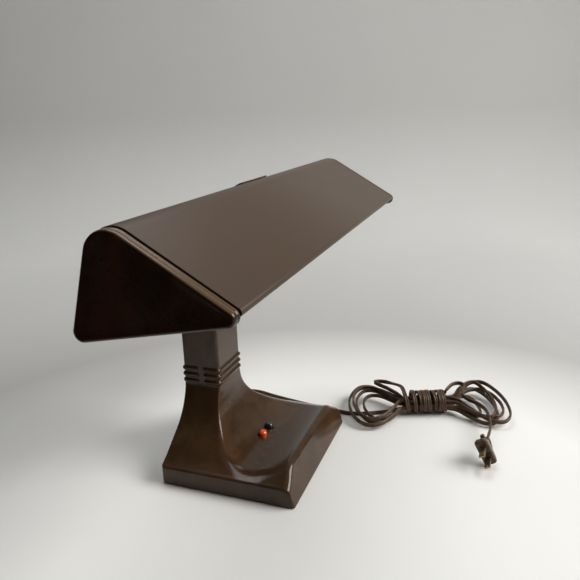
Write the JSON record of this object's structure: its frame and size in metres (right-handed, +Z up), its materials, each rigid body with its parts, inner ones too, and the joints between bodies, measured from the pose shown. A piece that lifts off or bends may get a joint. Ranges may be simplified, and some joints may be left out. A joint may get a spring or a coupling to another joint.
{
  "type": "desk lamp",
  "caption": "Fluorescent desk lamp with a moulded base and square neck, a long folded tilting shade, start and stop push buttons, and a coiled mains cord with plug.",
  "frame": {"origin": "on the table under the middle of the base, at the underside of the felt pad", "axes": "+X along the length of the shade, to the right for a person facing +Y; +Y to the back of the lamp, where the neck stands; +Z up"},
  "size_m": [0.49, 0.3656, 0.3007],
  "materials": {
    "moulded_brown": "glossy moulded phenolic with faint mottling",
    "cap_brown": "glossy dark moulded phenolic",
    "brown_paint": "satin brown enamel",
    "white_paint": "white enamel",
    "steel": "plated steel",
    "core_steel": "laminated, lacquered",
    "coil_wrap": "varnished paper wrap",
    "felt": "dark felt",
    "black_moulding": "black moulding",
    "brass": "dull brass",
    "red_button": "glossy orange red",
    "black_button": "glossy black",
    "rubber": "black rubber",
    "cord": "brown two-wire cord",
    "wire": "insulated wire",
    "sleeve": "woven sleeve",
    "fibre": "vulcanised fibre",
    "white_moulding": "white moulding",
    "tube_glass": "white phosphor-coated glass",
    "tube_caps": "satin aluminium"
  },
  "bodies": {
    "stand": {"base_shell": "moulded_brown", "bottom_cover": "steel", "felt_pad": "felt", "cover_screws": "steel", "ballast_core": "core_steel", "ballast_coil": "coil_wrap", "ballast_strap": "steel", "ballast_screws": "steel", "switch_body": "black_moulding", "switch_plate": "steel", "switch_screws": "steel", "switch_terminals": "brass", "start_spring": "steel", "stop_spring": "steel", "cord_grommet": "rubber", "power_cord": "cord", "plug_body": "cord", "plug_blades": "brass", "base_wiring": "wire", "neck_bushing": "rubber", "neck_bracket": "steel", "neck_bracket_screws": "steel", "pivot_bolts": "steel", "pivot_washers": "fibre", "pivot_nuts": "steel", "neck_wire_sleeve": "sleeve"},
    "start": {"start_button": "red_button"},
    "stop": {"stop_button": "black_button"},
    "shade": {"shade_wire_sleeve": "sleeve", "shade_grommet": "rubber", "shade_sheet": "brown_paint", "shade_bracket": "brown_paint", "bracket_rivets": "steel", "reflector": "white_paint", "reflector_screws": "steel", "left_end_cap": "cap_brown", "right_end_cap": "cap_brown", "cap_screws": "steel", "left_lampholder": "white_moulding", "right_lampholder": "white_moulding", "lampholder_contacts": "brass", "end_brackets": "steel", "end_bracket_screws": "steel", "shade_wiring": "wire"},
    "tube": {"tube_glass": "tube_glass", "tube_end_caps": "tube_caps", "tube_pins": "brass", "tube_cathodes": "steel", "lamp_rotors": "white_moulding"}
  },
  "joints": [
    {"name": "shade_tilt", "type": "hinge", "parent": "stand", "child": "shade", "pos_m": [0, 0.0225, 0.26], "axis": [1, 0, 0], "range_deg": [-30, 18]},
    {"name": "start_press", "type": "slide", "parent": "stand", "child": "start", "axis": [0, 0, -1], "range_m": [0, 0.003], "stiffness_N_per_m": 400, "springref_m": -0.002, "deforming": ["start_spring"]},
    {"name": "stop_press", "type": "slide", "parent": "stand", "child": "stop", "axis": [0, 0, -1], "range_m": [0, 0.003], "stiffness_N_per_m": 400, "springref_m": -0.002, "deforming": ["stop_spring"]},
    {"name": "tube_twist", "type": "hinge", "parent": "shade", "child": "tube", "pos_m": [0, -0.042, 0.255], "axis": [1, 0, 0], "range_deg": [0, 90]}
  ]
}
